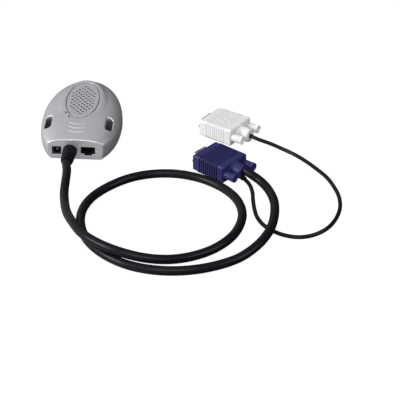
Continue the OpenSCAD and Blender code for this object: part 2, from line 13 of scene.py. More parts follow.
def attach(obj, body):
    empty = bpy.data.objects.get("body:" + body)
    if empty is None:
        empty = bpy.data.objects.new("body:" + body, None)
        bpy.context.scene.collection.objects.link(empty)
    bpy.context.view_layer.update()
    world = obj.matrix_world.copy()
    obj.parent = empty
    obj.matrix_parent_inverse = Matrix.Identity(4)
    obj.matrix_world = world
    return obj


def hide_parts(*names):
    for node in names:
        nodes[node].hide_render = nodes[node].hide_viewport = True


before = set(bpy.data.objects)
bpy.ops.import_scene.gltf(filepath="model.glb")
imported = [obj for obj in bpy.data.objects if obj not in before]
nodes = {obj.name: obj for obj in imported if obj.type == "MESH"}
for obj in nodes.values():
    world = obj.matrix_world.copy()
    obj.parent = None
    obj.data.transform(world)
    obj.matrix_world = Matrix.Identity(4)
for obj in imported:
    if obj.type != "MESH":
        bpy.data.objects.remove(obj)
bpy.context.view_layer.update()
scene = bpy.context.scene
COARSE = 1.0

# ---------------------------------------------------------------- camera

cam_data = bpy.data.cameras.new("camera")
cam_data.sensor_width = 36.0
cam_data.lens = 118.8
cam = bpy.data.objects.new("camera", cam_data)
scene.collection.objects.link(cam)
cam_at = Vector((0.184575, -1.030136, 0.589409))
cam_to = Vector((0.11332, -0.10411, 0.0))
cam.location = cam_at
cam.rotation_mode = "QUATERNION"
ROLL = math.radians(0.0)
cam.rotation_quaternion = (cam_to - cam_at).to_track_quat("-Z", "Y") @ Matrix.Rotation(ROLL, 3, "Z").to_quaternion()
cam_data.clip_start = 0.05
cam_data.clip_end = 20.0
cam_data.dof.use_dof = False
scene.camera = cam

# ---------------------------------------------------------------- where the plugs lie

BLUE = ((140.1, -64.6), 143.6)
WHITE = ((141.7, 0.0), 148.8)
HOOD_L, HOOD_W, HOOD_T = 34.0, 32.5, 16.0
PLUG_Z = HOOD_T / 2
SCREW_Y = 12.5
BOSS_BLUE, BOSS_WHITE, BOSS_Z = 9.5, 10.5, 7.2
THICK_Y, THICK_Z, THIN_Y, THIN_Z = -1.6, 9.4, 1.8, 3.8
CABLE_D, BRANCH_D = 7.5, 3.4


def plug_matrix(plug):
    """Local plug frame (mm, +X the way the plug points, z up from the floor) to the row frame (m)."""
    (px, py), yaw = plug
    return (
        Matrix.Scale(0.001, 4)
        @ Matrix.Translation((px, py, 0.0))
        @ Matrix.Rotation(math.radians(yaw), 4, "Z")
    )


def at_plug(plug, x, y, z):
    (px, py), yaw = plug
    c, s = math.cos(math.radians(yaw)), math.sin(math.radians(yaw))
    return (px + x * c - y * s, py + x * s + y * c, z)


# ---------------------------------------------------------------- cords: the route of part.scad, in millimetres

VIDEO_ROUTE = [
    (-4.5, -42, 9.8), (-4.5, -55, 9.8), (-4.5, -68, 9.8), (-2, -81, 9.2), (-1, -94, 7.5),
    (0, -108, 5.1), (3, -124, 4.6), (8, -142.5, 7), (16, -161.5, 10.4), (26, -178, 11.5),
    (40, -190.5, 11.6), (57, -200, 11.3), (76, -203, 8.5), (95, -200.5, 5.8), (113, -193, 4.3),
    (129.5, -181, 3.9), (142, -164.5, 3.9), (148.5, -146, 3.9), (149.5, -126, 3.9), (143.5, -106, 3.9),
    (131, -89.5, 3.9), (113.5, -77, 3.9), (93, -70.5, 3.9), (72, -71.5, 3.9), (52.5, -79.5, 3.9),
    (36, -94.5, 3.9), (24, -113, 3.9), (19, -134, 3.9), (21.5, -156.5, 3.9), (30.5, -177.5, 3.9),
    (45.5, -194.5, 3.9), (65, -207, 3.9), (87, -212.5, 3.9), (109, -211.5, 3.9), (130.5, -204.5, 3.9),
    (149.5, -193, 4.5), (162.5, -178.5, 6), (170.5, -163.5, 7.3), (174.5, -148.5, 7.6), (176, -129, 6),
    (175, -108, 4.2), (170, -90.5, 4), (163, -79.5, 5.4),
    at_plug(BLUE, -BOSS_BLUE - 8, THICK_Y, 7.9), at_plug(BLUE, -BOSS_BLUE, THICK_Y, THICK_Z),
    at_plug(BLUE, -BOSS_BLUE + 6, THICK_Y, THICK_Z),
]
BRANCH_ROUTE = [
    at_plug(BLUE, -BOSS_BLUE + 6, THIN_Y, THIN_Z), at_plug(BLUE, -BOSS_BLUE, THIN_Y, THIN_Z),
    at_plug(BLUE, -BOSS_BLUE - 5, THIN_Y + 0.7, 3.1),
    (154, -82, 2.4), (156.5, -92, 1.8), (157.5, -104, 1.8), (159, -116, 1.8), (161.5, -128, 1.8),
    (166.5, -139, 1.8), (174, -147.5, 1.8), (183.5, -153.5, 1.8), (195, -156, 1.8), (206, -153, 1.8),
    (216, -145, 1.8), (223, -134, 1.8), (227.5, -121, 1.8), (229.5, -107, 1.8), (228.5, -92, 1.8),
    (224.5, -77, 1.8), (218.5, -62.5, 1.8), (210, -49.5, 1.8), (200.5, -37, 1.8), (191, -27, 2),
    (180, -19.5, 3), (169, -14, 4.8),
    at_plug(WHITE, -BOSS_WHITE - 9, 0, 6.4), at_plug(WHITE, -BOSS_WHITE, 0, BOSS_Z), at_plug(WHITE, -BOSS_WHITE + 6, 0, BOSS_Z),
]


def smooth_route(points, steps):
    """Catmull-Rom curve through the points, in millimetres."""
    p = [Vector(q) for q in points]
    out = []
    for i in range(len(p) - 1):
        a, b, c, d = p[max(i - 1, 0)], p[i], p[i + 1], p[min(i + 2, len(p) - 1)]
        for k in range(steps):
            t = k / steps
            out.append(0.5 * (2 * b + (c - a) * t + (2 * a - 5 * b + 4 * c - d) * t * t + (3 * b - a - 3 * c + d) * t ** 3))
    out.append(p[-1])
    return out


def cord_curve(name, route, diameter, steps=6):
    pts = smooth_route(route, steps)
    curve = bpy.data.curves.new(name, "CURVE")
    curve.dimensions = "3D"
    spline = curve.splines.new("POLY")
    spline.points.add(len(pts) - 1)
    for q, v in zip(spline.points, pts):
        q.co = (v.x / 1000, v.y / 1000, v.z / 1000, 1.0)
    spline.use_smooth = True
    curve.bevel_depth = diameter / 2000
    curve.bevel_resolution = 8
    curve.use_fill_caps = True
    curve.twist_mode = "MINIMUM"
    obj = bpy.data.objects.new(name, curve)
    scene.collection.objects.link(obj)
    length = sum((pts[i + 1] - pts[i]).length for i in range(len(pts) - 1)) / 1000
    return obj, length


video_cord, video_length = cord_curve("video_cord", VIDEO_ROUTE, CABLE_D)
branch_cord, branch_length = cord_curve("branch_cord", BRANCH_ROUTE, BRANCH_D)

# ---------------------------------------------------------------- materials


def node_material(name, colour, rough=0.5, metal=0.0, specular=0.5, coat=0.0, coat_rough=0.2,
                  vary=0.06, vary_scale=60.0, rough_vary=0.06, rough_scale=400.0,
                  grain=0.0, grain_scale=3000.0, alpha=None, transmission=0.0, ior=1.5, sheen=0.0):
    """A moulded, painted or plated finish: mottled colour, uneven gloss and a fine grain, all from noise in object space."""
    m = bpy.data.materials.new(name)
    m.use_nodes = True
    t = m.node_tree
    shader = t.nodes["Principled BSDF"]
    shader.inputs["Metallic"].default_value = metal
    shader.inputs["Specular IOR Level"].default_value = specular
    shader.inputs["Coat Weight"].default_value = coat
    shader.inputs["Coat Roughness"].default_value = coat_rough
    shader.inputs["IOR"].default_value = ior
    shader.inputs["Transmission Weight"].default_value = transmission
    if sheen:
        shader.inputs["Sheen Weight"].default_value = sheen
    place = t.nodes.new("ShaderNodeTexCoord")
    cloud = t.nodes.new("ShaderNodeTexNoise")
    cloud.inputs["Scale"].default_value = vary_scale
    cloud.inputs["Detail"].default_value = 4.0
    t.links.new(place.outputs["Object"], cloud.inputs["Vector"])
    ramp = t.nodes.new("ShaderNodeValToRGB")
    ramp.color_ramp.elements[0].position = 0.3
    ramp.color_ramp.elements[1].position = 0.7
    ramp.color_ramp.elements[0].color = [c * (1 - vary) for c in colour] + [1]
    ramp.color_ramp.elements[1].color = [min(c * (1 + vary), 1.0) for c in colour] + [1]
    t.links.new(cloud.outputs["Fac"], ramp.inputs["Fac"])
    t.links.new(ramp.outputs["Color"], shader.inputs["Base Color"])
    wear = t.nodes.new("ShaderNodeTexNoise")
    wear.inputs["Scale"].default_value = rough_scale
    wear.inputs["Detail"].default_value = 3.0
    t.links.new(place.outputs["Object"], wear.inputs["Vector"])
    band = t.nodes.new("ShaderNodeMapRange")
    band.inputs["From Min"].default_value = 0.3
    band.inputs["From Max"].default_value = 0.7
    band.inputs["To Min"].default_value = max(rough - rough_vary, 0.02)
    band.inputs["To Max"].default_value = min(rough + rough_vary, 1.0)
    t.links.new(wear.outputs["Fac"], band.inputs["Value"])
    t.links.new(band.outputs["Result"], shader.inputs["Roughness"])
    if grain:
        fine = t.nodes.new("ShaderNodeTexNoise")
        fine.inputs["Scale"].default_value = grain_scale
        fine.inputs["Detail"].default_value = 2.0
        t.links.new(place.outputs["Object"], fine.inputs["Vector"])
        bump = t.nodes.new("ShaderNodeBump")
        bump.inputs["Strength"].default_value = grain
        bump.inputs["Distance"].default_value = 0.0001
        t.links.new(fine.outputs["Fac"], bump.inputs["Height"])
        t.links.new(bump.outputs["Normal"], shader.inputs["Normal"])
    if alpha is not None:
        shader.inputs["Alpha"].default_value = alpha
    return m


def box_mask(t, place, x0, x1, y0, y1):
    """1 inside a rectangle in plan, else 0, from object coordinates."""
    split = t.nodes.new("ShaderNodeSeparateXYZ")
    t.links.new(place, split.inputs[0])
    out = None
    for axis, (a, b) in (("X", (x0, x1)), ("Y", (y0, y1))):
        inside = t.nodes.new("ShaderNodeMath")
        inside.operation = "COMPARE"
        inside.inputs[1].default_value = (a + b) / 2
        inside.inputs[2].default_value = (b - a) / 2
        t.links.new(split.outputs[axis], inside.inputs[0])
        if out is None:
            out = inside.outputs[0]
        else:
            both = t.nodes.new("ShaderNodeMath")
            both.operation = "MULTIPLY"
            t.links.new(out, both.inputs[0])
            t.links.new(inside.outputs[0], both.inputs[1])
            out = both.outputs[0]
    return out


SILVER = (0.492, 0.490, 0.520)
silver = node_material("silver_paint", SILVER, rough=0.36, metal=0.55, specular=0.5, coat=0.15, coat_rough=0.3,
                       vary=0.03, vary_scale=45, rough_vary=0.04, rough_scale=700, grain=0.18, grain_scale=5200)
silver_top = silver.copy()
silver_top.name = "silver_paint_marked"
# Two faint plain bars beside the indicators
t = silver_top.node_tree
shader = t.nodes["Principled BSDF"]
ramp = next(n for n in t.nodes if n.type == "VALTORGB")
place = next(n for n in t.nodes if n.type == "TEX_COORD")
first = box_mask(t, place.outputs["Object"], -0.0172, -0.0146, -0.01350, -0.01315)
second = box_mask(t, place.outputs["Object"], -0.0163, -0.0126, -0.01895, -0.01860)
either = t.nodes.new("ShaderNodeMath")
either.operation = "MAXIMUM"
t.links.new(first, either.inputs[0])
t.links.new(second, either.inputs[1])
paint = t.nodes.new("ShaderNodeMix")
paint.data_type = "RGBA"
paint.inputs["B"].default_value = (0.12, 0.12, 0.14, 1)
t.links.new(either.outputs[0], paint.inputs["Factor"])
t.links.new(ramp.outputs["Color"], paint.inputs["A"])
t.links.new(paint.outputs["Result"], shader.inputs["Base Color"])



def maths(tree, operation, a, b=None):
    node = tree.nodes.new("ShaderNodeMath")
    node.operation = operation
    for k, v in enumerate((a, b)):
        if v is None:
            continue
        if isinstance(v, (int, float)):
            node.inputs[k].default_value = v
        else:
            tree.links.new(v, node.inputs[k])
    return node.outputs[0]


def painted_shade_below(material, depth, start, end, colour, within=None):
    """Paints a shade colour where depth (metres below the painted surface) passes from start to end: painted shade in a
    recess.
    """
    tree = material.node_tree
    target = tree.nodes["Principled BSDF"].inputs["Base Color"]
    before = target.links[0].from_socket
    deep = tree.nodes.new("ShaderNodeMapRange")
    deep.inputs["From Min"].default_value = start
    deep.inputs["From Max"].default_value = end
    tree.links.new(depth, deep.inputs["Value"])
    mask = deep.outputs["Result"]
    if within is not None:
        mask = maths(tree, "MULTIPLY", mask, within)
    shade_mix = tree.nodes.new("ShaderNodeMix")
    shade_mix.data_type = "RGBA"
    shade_mix.inputs["B"].default_value = colour
    tree.links.new(mask, shade_mix.inputs["Factor"])
    tree.links.new(before, shade_mix.inputs["A"])
    tree.links.new(shade_mix.outputs["Result"], target)


# Painted shade: the walls of the two screw wells are painted dark from 1.6 to 4 mm below the top surface
split = t.nodes.new("ShaderNodeSeparateXYZ")
t.links.new(place.outputs["Object"], split.inputs[0])
side = maths(t, "ABSOLUTE", split.outputs["X"])
near_x = maths(t, "COMPARE", side, 0.0269)
near_x.node.inputs[2].default_value = 0.0038
near_y = maths(t, "COMPARE", split.outputs["Y"], -0.0233)
near_y.node.inputs[2].default_value = 0.0085
rim = maths(t, "ADD", maths(t, "MULTIPLY", side, -0.39), maths(t, "MULTIPLY", split.outputs["Y"], 0.155))
depth = maths(t, "SUBTRACT", maths(t, "ADD", rim, 0.0390), split.outputs["Z"])
painted_shade_below(silver_top, depth, 0.0016, 0.0040, (0.17, 0.17, 0.175, 1), maths(t, "MULTIPLY", near_x, near_y))

# Painted shade: the walls of the grille's holes and its edge are painted near black below the face of the panel
silver_grille = silver.copy()
silver_grille.name = "silver_paint_grille"
t = silver_grille.node_tree
place = next(n for n in t.nodes if n.type == "TEX_COORD")
split = t.nodes.new("ShaderNodeSeparateXYZ")
t.links.new(place.outputs["Object"], split.inputs[0])
tilt = math.atan(0.185)
along = maths(t, "MULTIPLY", maths(t, "SUBTRACT", split.outputs["Y"], 0.0046), math.sin(tilt))
above = maths(t, "MULTIPLY", maths(t, "SUBTRACT", split.outputs["Z"], 0.032231), math.cos(tilt))
painted_shade_below(silver_grille, maths(t, "SUBTRACT", along, above), 0.00022, 0.00045, (0.03, 0.03, 0.033, 1))

jacket = node_material("cable_jacket", (0.0050, 0.0046, 0.0072), rough=0.29, specular=0.15, vary=0.15, vary_scale=120,
                       rough_vary=0.06, rough_scale=260, grain=0.25, grain_scale=1500)
boot_rubber = node_material("boot_rubber", (0.0032, 0.0030, 0.0042), rough=0.38, specular=0.10, vary=0.12, vary_scale=160,
                            rough_vary=0.06, grain=0.3, grain_scale=2600)
foot_rubber = node_material("foot_rubber", (0.02, 0.02, 0.022), rough=0.75, specular=0.3, vary=0.15, vary_scale=300, grain=0.4)
jack_black = node_material("jack_black", (0.012, 0.012, 0.013), rough=0.3, specular=0.5, vary=0.1, vary_scale=200, grain=0.1)
hood_blue = node_material("hood_blue", (0.020, 0.020, 0.103), rough=0.42, specular=0.26, vary=0.07, vary_scale=90,
                          rough_vary=0.06, rough_scale=500, grain=0.35, grain_scale=4200)
hood_white = node_material("hood_white", (0.725, 0.717, 0.712), rough=0.45, specular=0.35, vary=0.02, vary_scale=90,
                           rough_vary=0.05, rough_scale=500, grain=0.3, grain_scale=4200)
# Painted shade: the nine grooves of the blue grip are painted darker than the ribs
t = hood_blue.node_tree
place = next(n for n in t.nodes if n.type == "TEX_COORD")
split = t.nodes.new("ShaderNodeSeparateXYZ")
t.links.new(place.outputs["Object"], split.inputs[0])
yaw = math.radians(BLUE[1])
local = maths(t, "ADD", maths(t, "MULTIPLY", maths(t, "SUBTRACT", split.outputs["X"], BLUE[0][0] / 1000), math.cos(yaw)),
              maths(t, "MULTIPLY", maths(t, "SUBTRACT", split.outputs["Y"], BLUE[0][1] / 1000), math.sin(yaw)))
count = maths(t, "DIVIDE", maths(t, "SUBTRACT", local, 0.00705 - 0.001175), 0.00235)
phase = maths(t, "ABSOLUTE", maths(t, "SUBTRACT", maths(t, "FRACT", count), 0.5))
grip = maths(t, "COMPARE", count, 4.5)
grip.node.inputs[2].default_value = 4.5
painted_shade_below(hood_blue, maths(t, "SUBTRACT", 1.0, phase), 0.76, 0.86, (0.0035, 0.0035, 0.014, 1), grip)

insulator_blue = node_material("insulator_blue", (0.03, 0.028, 0.16), rough=0.45, vary=0.05, grain=0.15)
nylon_white = node_material("nylon_white", (0.80, 0.79, 0.74), rough=0.5, vary=0.03, grain=0.15)
nickel = node_material("nickel", (0.62, 0.60, 0.56), rough=0.24, metal=1.0, vary=0.05, vary_scale=300, rough_vary=0.06, grain=0.08, grain_scale=2500)
steel = node_material("steel", (0.55, 0.54, 0.51), rough=0.30, metal=1.0, vary=0.08, vary_scale=500, rough_vary=0.08, grain=0.12, grain_scale=4000)
dull_metal = node_material("dull_metal", (0.22, 0.22, 0.22), rough=0.45, metal=1.0, vary=0.06, vary_scale=400, rough_vary=0.06)
gold = node_material("gold_contact", (0.85, 0.60, 0.24), rough=0.22, metal=1.0, vary=0.05, vary_scale=800)
board = node_material("board", (0.02, 0.12, 0.045), rough=0.35, specular=0.5, coat=0.4, vary=0.25, vary_scale=420, grain=0.15, grain_scale=900)
chip = node_material("chip", (0.02, 0.02, 0.021), rough=0.55, vary=0.15, vary_scale=700, grain=0.3)
capacitor = node_material("capacitor", (0.10, 0.12, 0.19), rough=0.3, metal=0.4, vary=0.08, vary_scale=300)
wire = node_material("wire", (0.42, 0.04, 0.03), rough=0.42, vary=0.12, vary_scale=300, grain=0.1)
led_body = node_material("led_body", (0.75, 0.73, 0.60), rough=0.35, vary=0.05, vary_scale=600, grain=0.1)
light_pipe = node_material("light_pipe", (0.003, 0.003, 0.003), rough=0.3, specular=0.1, vary=0.2, vary_scale=900)

# ---------------------------------------------------------------- meshes from implicit shapes


def round_and(a, b, r):
    """Intersection of two shapes with a rounded outer edge."""
    return np.minimum(np.maximum(a, b), -r) + np.hypot(np.maximum(a + r, 0), np.maximum(b + r, 0))


def round_or(a, b, r):
    """Union of two shapes with a filleted inner edge."""
    return np.maximum(np.minimum(a, b), r) - np.hypot(np.maximum(r - a, 0), np.maximum(r - b, 0))


def step(a, b, v):
    t = np.clip((v - a) / (b - a), 0, 1)
    return t * t * (3 - 2 * t)


def gradient(f, p, h):
    g = np.zeros_like(p)
    for k in ((1, -1, -1), (-1, -1, 1), (-1, 1, -1), (1, 1, 1)):
        k = np.array(k, float)
        g += k * f(*(p + h * k).T)[:, None]
    return g / (4 * h)


def settle(f, p, cell, passes):
    """Moves the points onto the surface f = 0."""
    for _ in range(passes):
        g = gradient(f, p, cell * 0.08)
        d = f(*p.T)[:, None] * g / np.maximum((g * g).sum(1, keepdims=True), 0.05)
        n = np.linalg.norm(d, axis=1, keepdims=True)
        p = p - d * np.minimum(1, 0.4 * cell / np.maximum(n, 1e-9))
    return p


def net(f, low, high, cell):
    """Points and quads of the surface f = 0 (f is below 0 inside), by surface nets on a grid."""
    low, high = np.array(low, float), np.array(high, float)
    n = np.ceil((high - low) / cell).astype(int) + 1
    ax = [(low[i] + cell * np.arange(n[i])).astype(np.float32) for i in range(3)]
    X, Y, Z = ax[0][:, None, None], ax[1][None, :, None], ax[2][None, None, :]
    F = np.broadcast_to(f(X, Y, Z), tuple(n)).astype(np.float32)
    neg = F < 0
    count = np.zeros(tuple(n - 1), np.int8)
    for i in (0, 1):
        for j in (0, 1):
            for k in (0, 1):
                count += neg[i:n[0] - 1 + i, j:n[1] - 1 + j, k:n[2] - 1 + k]
    active = (count > 0) & (count < 8)
    index = np.full(active.shape, -1, np.int32)
    ci = np.array(np.nonzero(active)).T
    index[active] = np.arange(len(ci), dtype=np.int32)
    total, number = np.zeros((len(ci), 3)), np.zeros(len(ci))
    for axis in range(3):
        other = [a for a in range(3) if a != axis]
        for i in (0, 1):
            for j in (0, 1):
                a = np.zeros(3, int)
                a[other[0]], a[other[1]] = i, j
                b = a.copy()
                b[axis] = 1
                fa, fb = F[tuple((ci + a).T)], F[tuple((ci + b).T)]
                cross = (fa < 0) != (fb < 0)
                s = np.where(cross, fa / np.where(cross, fa - fb, 1), 0)
                total += cross[:, None] * (a + s[:, None] * (b - a))
                number += cross
    p = low + cell * (ci + total / number[:, None])
    quads = []
    for axis in range(3):
        u, v = (axis + 1) % 3, (axis + 2) % 3
        first = [slice(None)] * 3
        second = [slice(None)] * 3
        first[axis], second[axis] = slice(0, -1), slice(1, None)
        a, b = neg[tuple(first)], neg[tuple(second)]
        e = np.array(np.nonzero(a != b)).T
        e = e[(e[:, u] > 0) & (e[:, v] > 0) & (e[:, u] < n[u] - 1) & (e[:, v] < n[v] - 1)]
        flip = ~a[tuple(e.T)]
        corner = []
        for du, dv in ((1, 1), (0, 1), (0, 0), (1, 0)):
            c = e.copy()
            c[:, u] -= du
            c[:, v] -= dv
            corner.append(index[tuple(c.T)])
        q = np.array(corner).T
        q[flip] = q[flip][:, ::-1]
        quads.append(q)
    return p, np.concatenate(quads)


def to_mesh(name, points, faces, matrix=None, normals=None):
    """A smooth-shaded object from points in millimetres (or in matrix's own unit) and faces."""
    mesh = bpy.data.meshes.new(name)
    if matrix is None:
        matrix = Matrix.Scale(0.001, 4)
    m = np.array(matrix, float)
    world = np.asarray(points, float) @ m[:3, :3].T + m[:3, 3]
    if isinstance(faces, np.ndarray):
        size = faces.shape[1]
        mesh.vertices.add(len(world))
        mesh.vertices.foreach_set("co", world.astype(np.float32).ravel())
        mesh.loops.add(faces.size)
        mesh.loops.foreach_set("vertex_index", faces.astype(np.int32).ravel())
        mesh.polygons.add(len(faces))
        mesh.polygons.foreach_set("loop_start", np.arange(0, faces.size, size, dtype=np.int32))
        mesh.update(calc_edges=True)
    else:
        mesh.from_pydata([tuple(v) for v in world], [], [tuple(int(i) for i in q) for q in faces])
        mesh.update()
    mesh.validate()
    mesh.polygons.foreach_set("use_smooth", np.ones(len(mesh.polygons), bool))
    if normals is not None and len(normals) == len(mesh.vertices):
        turn = m[:3, :3] / np.cbrt(abs(np.linalg.det(m[:3, :3])))
        mesh.normals_split_custom_set_from_vertices([tuple(v) for v in (normals @ turn.T)])
    obj = bpy.data.objects.new(name, mesh)
    scene.collection.objects.link(obj)
    return obj


def moulded(name, f, low, high, cell, matrix=None, keep=1.0):
    """A meshed implicit shape: netted, thinned to a share of its faces, laid onto the true surface, with its true normals."""
    cell *= COARSE
    p, q = net(f, low, high, cell)
    p = settle(f, p, cell, 3)
    if keep < 1.0:
        raw = bpy.data.meshes.new(name + "_raw")
        raw.vertices.add(len(p))
        raw.vertices.foreach_set("co", p.astype(np.float32).ravel())
        raw.loops.add(q.size)
        raw.loops.foreach_set("vertex_index", q.astype(np.int32).ravel())
        raw.polygons.add(len(q))
        raw.polygons.foreach_set("loop_start", np.arange(0, q.size, 4, dtype=np.int32))
        raw.update(calc_edges=True)
        holder = bpy.data.objects.new(name + "_raw", raw)
        scene.collection.objects.link(holder)
        thin = holder.modifiers.new("thin", "DECIMATE")
        thin.ratio = keep
        done = bpy.data.meshes.new_from_object(holder.evaluated_get(bpy.context.evaluated_depsgraph_get()))
        p = np.zeros(len(done.vertices) * 3, np.float32)
        done.vertices.foreach_get("co", p)
        p = p.reshape(-1, 3).astype(float)
        done.calc_loop_triangles()
        q = np.zeros(len(done.loop_triangles) * 3, np.int32)
        done.loop_triangles.foreach_get("vertices", q)
        q = q.reshape(-1, 3)
        bpy.data.objects.remove(holder)
        bpy.data.meshes.remove(raw)
        bpy.data.meshes.remove(done)
        p = settle(f, p, cell * 0.5, 2)
    g = gradient(f, p, cell * 0.12)
    g /= np.maximum(np.linalg.norm(g, axis=1, keepdims=True), 1e-9)
    return to_mesh(name, p, q, matrix, g)


def rounded_profile(points, radii, steps=5):
    """A polyline with each corner replaced by an arc of its radius."""
    out = []
    n = len(points)
    for i, (x, r) in enumerate(points):
        rad = radii[i] if isinstance(radii, (list, tuple)) else radii
        if i in (0, n - 1) or rad <= 0:
            out.append((x, r))
            continue
        a, b, c = Vector(points[i - 1]), Vector((x, r)), Vector(points[i + 1])
        u, v = (a - b), (c - b)
        lu, lv = u.length, v.length
        if lu < 1e-6 or lv < 1e-6:
            continue
        u, v = u / lu, v / lv
        half = math.acos(max(-1, min(1, u.dot(v)))) / 2
        if half > math.radians(89):
            out.append((x, r))
            continue
        back = min(rad / math.tan(half), 0.45 * lu, 0.45 * lv)
        p0, p1 = b + u * back, b + v * back
        for k in range(steps + 1):
            t = k / steps
            q = (1 - t) ** 2 * p0 + 2 * t * (1 - t) * b + t * t * p1
            out.append((q.x, q.y))
    return out


def turned(name, profile, matrix, count=64, around=None):
    """A solid of revolution about local X. profile is (x, radius) from one axis point to the other; around(x, angle) scales the radius."""
    pts, faces = [], []
    rings = []
    for x, r in profile:
        if r <= 1e-6:
            rings.append([len(pts)])
            pts.append((x, 0.0, 0.0))
            continue
        ring = []
        for k in range(count):
            a = 2 * math.pi * k / count
            rr = r if around is None else around(x, r, a)
            ring.append(len(pts))
            pts.append((x, rr * math.cos(a), rr * math.sin(a)))
        rings.append(ring)
    for a, b in zip(rings[:-1], rings[1:]):
        if len(a) == 1 and len(b) == 1:
            continue
        for k in range(count):
            j = (k + 1) % count
            if len(a) == 1:
                faces.append((a[0], b[j], b[k]))
            elif len(b) == 1:
                faces.append((a[k], a[j], b[0]))
            else:
                faces.append((a[k], a[j], b[j], b[k]))
    return to_mesh(name, pts, faces, matrix)


def outward(obj):
    """Turns the faces outwards, for a closed mesh."""
    import bmesh
    bm = bmesh.new()
    bm.from_mesh(obj.data)
    bmesh.ops.recalc_face_normals(bm, faces=bm.faces)
    bm.to_mesh(obj.data)
    bm.free()
    obj.data.polygons.foreach_set("use_smooth", np.ones(len(obj.data.polygons), bool))
    return obj


def finish_piece(obj, material, body="root", replaces=()):
    obj.data.materials.clear()
    obj.data.materials.append(material)
    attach(obj, body)
    if replaces:
        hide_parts(*replaces)
    return obj


# ---------------------------------------------------------------- housing

HALF_W, WIDE_Y, LEN_F, LEN_B, EXP_F = 35.5, -4.0, 56.0, 52.0, 2.35
WIDE_Z, BASE_Z, TUCK, DOME_N = 11.7, 1.2, 3.4, 3.3
TOP_Z, SLOPE, FRONT, PART_Z = 22.5, 0.185, -48.0, 9.8
TILT = math.atan(SLOPE)
GRILLE_Y = 4.6
GRILLE_Z = TOP_Z + SLOPE * (GRILLE_Y - FRONT)
WELL_X, WELL_Y, WELL_HW, WELL_HL, WELL_R = 26.9, -23.3, 2.8, 7.5, 2.6
PCB_TOP, RJ_Z = 4.9, 6.9
DC_X, JACK_Z, RJ_X, BOOT_X = -16.3, 9.5, 11.2, -4.5
LIGHTS = ((-12.5, -13.3), (-9.1, -18.5))
COVER_SCREWS = ((-25.5, -32.8), (25.5, -32.8), (-17, 32), (17, 32))
BOARD_SCREWS = ((-19, -21), (19, -21), (-16, 22), (16, 22))
FEET = ((-15.5, -38), (15.5, -38), (-21, 18), (21, 18))


def egg(x, y, inset):
    """Level of the egg outline drawn in by inset (1 on it), with its slope in x and y."""
    v = y - WIDE_Y
    back = v >= 0
    n = np.where(back, 2.0, EXP_F)
    length = np.where(back, LEN_B, LEN_F) - inset
    w = HALF_W - inset
    a = np.maximum(np.abs(x) / w, 1e-5)
    b = np.maximum(np.abs(v) / length, 1e-5)
    p = (a ** n + b ** n) ** (1 / n)
    return p, (a / p) ** (n - 1) / w * np.sign(x), (b / p) ** (n - 1) / length * np.sign(v)


def egg_distance(x, y, inset=0.0):
    p, gx, gy = egg(x, y, inset)
    return (p - 1) / np.hypot(gx, gy)


def dome(x, y, z, inset=0.0):
    p, gx, gy = egg(x, y, inset)
    high = np.maximum(TOP_Z - inset + SLOPE * (y - FRONT) - WIDE_Z, 2.0)
    h = np.maximum(z - WIDE_Z, 0) / high
    g = (p ** DOME_N + h ** DOME_N) ** (1 / DOME_N)
    a, b = (p / g) ** (DOME_N - 1), (h / g) ** (DOME_N - 1)
    dx, dy, dz = a * gx, a * gy - b * h * SLOPE / high, b / high
    return (g - 1) / np.sqrt(dx * dx + dy * dy + dz * dz)


def on_top(x, y, z):
    c, s = math.cos(TILT), math.sin(TILT)
    return x, (y - GRILLE_Y) * c + (z - GRILLE_Z) * s, -(y - GRILLE_Y) * s + (z - GRILLE_Z) * c


def oval(x, y, w, length):
    """Distance to an oval outline of the given half sizes, good near it."""
    p = np.sqrt((x / w) ** 2 + (y / length) ** 2)
    p = np.maximum(p, 1e-4)
    g = np.hypot(x / w ** 2, y / length ** 2) / p
    return (p - 1) / np.maximum(g, 1e-4)


def lift(x, y):
    """How much the dome is raised: the level rim round the grille, and three arcs in front of it."""
    p, _, _ = egg(x, y, 0.0)
    q = np.minimum(p, 0.999)
    high = TOP_Z + SLOPE * (y - FRONT) - WIDE_Z
    sag = high * (1 - (1 - q ** DOME_N) ** (1 / DOME_N))
    yy = (y - GRILLE_Y) / math.cos(TILT)
    out = oval(x, yy, 16.3, 27.0)
    up = sag * (1 - step(0.0, 6.5, out))
    for k in range(3):
        d = oval(x, yy, 20 + 1.4 * k, 33.8 + 5.1 * k)
        ends = 1 - step(6.8, 9.4, np.abs(x - 0.6))
        up = up + np.where(y < -15, 0.50 * ends * np.exp(-(d / 0.62) ** 2), 0)
    return up


def post(x, y, cx, cy, r):
    return np.hypot(x - cx, y - cy) - r


def block(x, z, cx, cz, hx, hz, r=0.0):
    a, b = np.abs(x - cx) - hx + r, np.abs(z - cz) - hz + r
    return np.hypot(np.maximum(a, 0), np.maximum(b, 0)) + np.minimum(np.maximum(a, b), 0) - r


def jack_cuts(x, z):
    """Openings of the front face, seen along Y."""
    dc = block(x, z, DC_X, JACK_Z, 4.1, 3.9, 0.5)
    rj = block(x, z, RJ_X, RJ_Z + 3.35, 6.2, 3.45, 0.35)
    key = block(x, z, RJ_X, RJ_Z - 0.6, 3.2, 1.1, 0.3)
    boot = np.hypot(x - BOOT_X, z - PART_Z) - 4.6
    return np.minimum(np.minimum(dc, boot), np.minimum(rj, key))


def jack_seats(x, y, z):
    """Pockets behind the front wall that the two jacks stand in."""
    rj = block(x, z, RJ_X, PCB_TOP + 5.6, 7.8, 5.7)
    dc = block(x, z, DC_X, PCB_TOP + 4.5, 4.6, 4.6)
    return np.maximum(np.minimum(rj, dc), np.abs(y - FRONT - 3.5) - 2.5)


def well(x, y, s, grow):
    return block(x, y, s * WELL_X, WELL_Y, WELL_HW + grow, WELL_HL + grow, WELL_R + grow)


